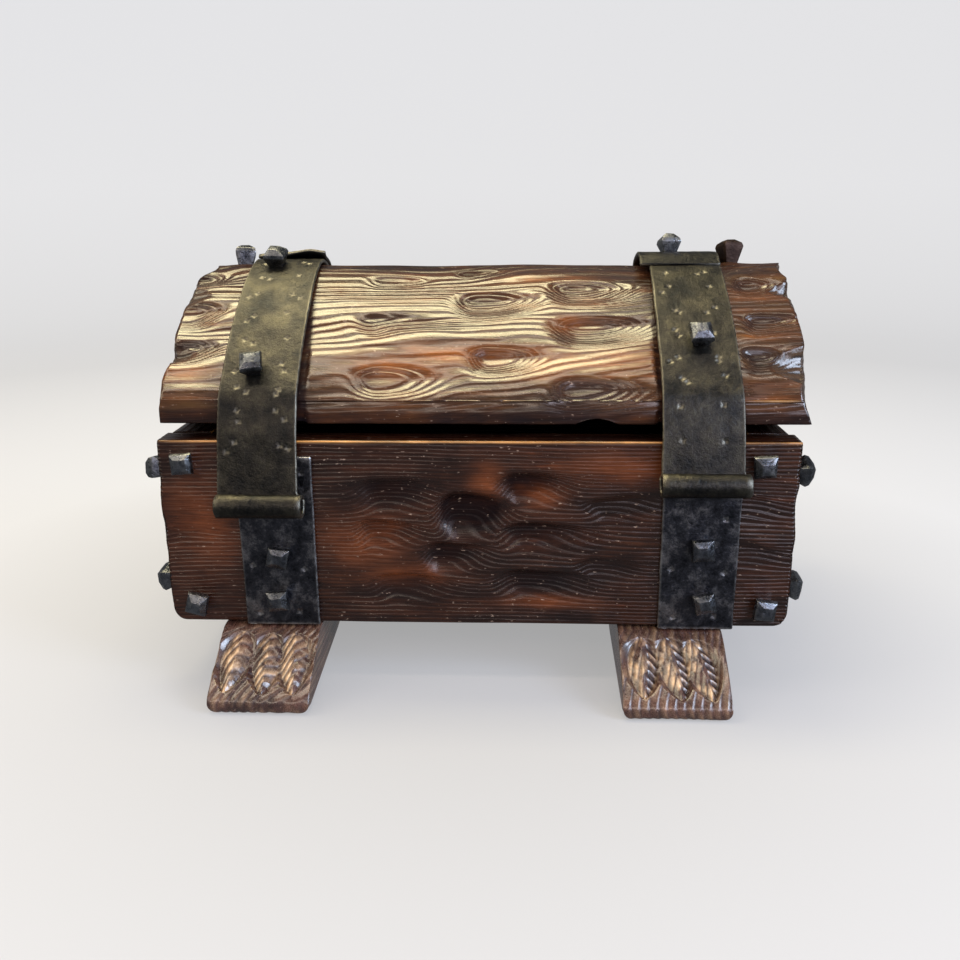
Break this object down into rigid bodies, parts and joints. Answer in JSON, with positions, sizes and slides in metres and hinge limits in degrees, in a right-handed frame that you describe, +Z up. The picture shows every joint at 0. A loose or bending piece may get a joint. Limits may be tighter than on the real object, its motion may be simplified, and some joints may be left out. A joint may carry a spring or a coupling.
{
  "type": "donation box",
  "caption": "Rustic plank chest on carved sled runners, with a hollowed half-log lid hinged at the back and forged iron straps, plates and faceted nails.",
  "frame": {"origin": "middle of the footprint, on the floor", "axes": "+X to the right along the box, +Y from the front to the hinges, +Z up"},
  "size_m": [0.34, 0.274, 0.2278],
  "materials": {
    "box_wood": "dark fired and brushed pine, satin lacquer",
    "lid_wood": "gouged, fired and brushed pine, glossy lacquer",
    "runner_wood": "chip-carved brushed pine, satin lacquer",
    "blackened_steel": "hammered and punched, blackened",
    "worn_steel": "forged facets, worn bright on the edges"
  },
  "bodies": {
    "box": {"back_board": "box_wood", "back_nail_left_lower": "worn_steel", "back_nail_left_upper": "worn_steel", "back_nail_right_lower": "worn_steel", "back_nail_right_upper": "worn_steel", "bottom_board": "box_wood", "front_board": "box_wood", "front_nail_left_lower": "worn_steel", "front_nail_left_upper": "worn_steel", "front_nail_right_lower": "worn_steel", "front_nail_right_upper": "worn_steel", "left_end_board": "box_wood", "left_front_plate": "blackened_steel", "left_hinge_leaf": "blackened_steel", "left_hinge_pin": "worn_steel", "left_leaf_nail_lower": "worn_steel", "left_leaf_nail_upper": "worn_steel", "left_nail_back_lower": "worn_steel", "left_nail_back_upper": "worn_steel", "left_nail_front_lower": "worn_steel", "left_nail_front_upper": "worn_steel", "left_plate_nail_lower": "worn_steel", "left_plate_nail_upper": "worn_steel", "left_runner": "runner_wood", "left_runner_nail_back": "worn_steel", "left_runner_nail_front": "worn_steel", "right_end_board": "box_wood", "right_front_plate": "blackened_steel", "right_hinge_leaf": "blackened_steel", "right_hinge_pin": "worn_steel", "right_leaf_nail_lower": "worn_steel", "right_leaf_nail_upper": "worn_steel", "right_nail_back_lower": "worn_steel", "right_nail_back_upper": "worn_steel", "right_nail_front_lower": "worn_steel", "right_nail_front_upper": "worn_steel", "right_plate_nail_lower": "worn_steel", "right_plate_nail_upper": "worn_steel", "right_runner": "runner_wood", "right_runner_nail_back": "worn_steel", "right_runner_nail_front": "worn_steel"},
    "lid": {"left_front_strap": "blackened_steel", "left_hinge_nail_lower": "worn_steel", "left_hinge_nail_upper": "worn_steel", "left_hinge_strap": "blackened_steel", "left_outer_ridge_nail": "worn_steel", "left_ridge_nail": "worn_steel", "left_strap_nail": "worn_steel", "lid": "lid_wood", "right_front_strap": "blackened_steel", "right_hinge_nail_lower": "worn_steel", "right_hinge_nail_upper": "worn_steel", "right_hinge_strap": "blackened_steel", "right_outer_ridge_nail": "worn_steel", "right_ridge_nail": "worn_steel", "right_strap_nail": "worn_steel"}
  },
  "joints": [
    {"name": "lid_hinge", "type": "hinge", "parent": "box", "child": "lid", "pos_m": [0, 0.1006, 0.1345], "axis": [-1, 0, 0], "range_deg": [0, 105]}
  ]
}
